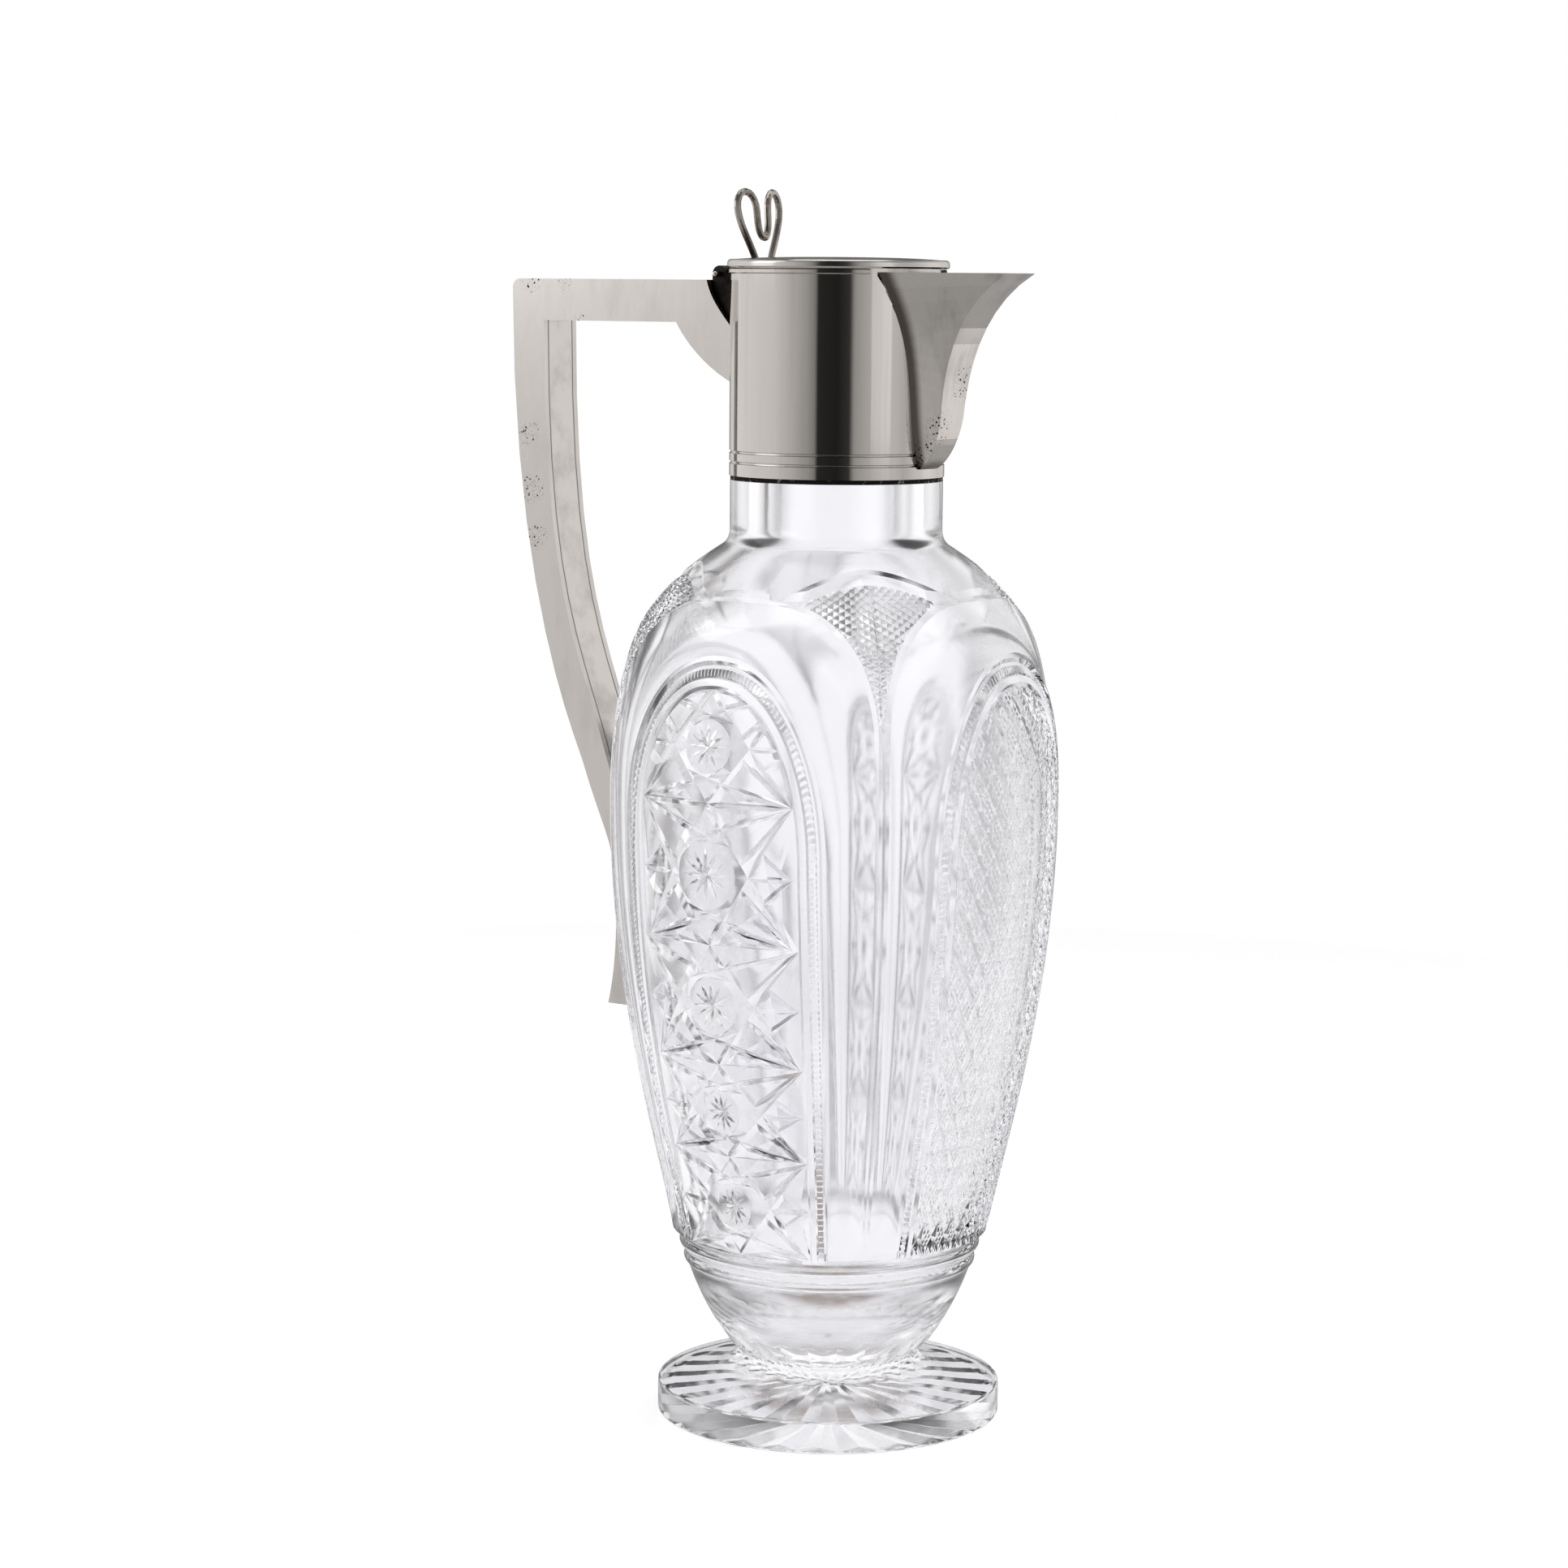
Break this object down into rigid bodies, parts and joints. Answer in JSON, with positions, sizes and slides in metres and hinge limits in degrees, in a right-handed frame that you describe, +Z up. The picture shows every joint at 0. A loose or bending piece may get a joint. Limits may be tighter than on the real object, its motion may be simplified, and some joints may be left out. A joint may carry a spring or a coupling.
{
  "type": "claret jug",
  "caption": "Cut-glass claret jug on a round foot, with a metal collar and spout, a box-section handle and a hinged lid with a wire thumbpiece.",
  "frame": {"origin": "centre of the flat underside of the glass foot, on the surface the jug stands on", "axes": "+Z up along the axis of the glass body, +X out through the spout, the handle on the -X side"},
  "size_m": [0.1474, 0.109, 0.2983],
  "materials": {
    "cut_glass": "polished clear cut glass",
    "silver": "worn silver plate with small dark pits",
    "tarnished_silver": "silver plate gone black with tarnish",
    "plaster": "matt grey-brown plaster"
  },
  "bodies": {
    "jug": {"glass_body": "cut_glass", "plaster_bed": "plaster", "collar_band": "silver", "collar_rim_wire": "silver", "spout_side_left": "silver", "spout_side_right": "silver", "spout_front_strip": "silver", "handle_side_left": "silver", "handle_side_right": "silver", "handle_top_strip": "silver", "handle_back_strip": "silver", "handle_under_strip": "silver", "handle_front_strip": "silver", "handle_bracket_strip": "silver", "handle_toe_cap": "silver", "hinge_block": "tarnished_silver", "hinge_knuckles": "tarnished_silver", "hinge_pin": "silver"},
    "lid": {"lid_plate": "silver", "lid_rim": "silver", "lid_bezel": "silver", "lid_hinge_leaf": "tarnished_silver", "thumbpiece": "silver"}
  },
  "joints": [
    {"name": "lid_hinge", "type": "hinge", "parent": "jug", "child": "lid", "pos_m": [-0.0312, 0, 0.2778], "axis": [0, -1, 0], "range_deg": [0, 110]}
  ]
}
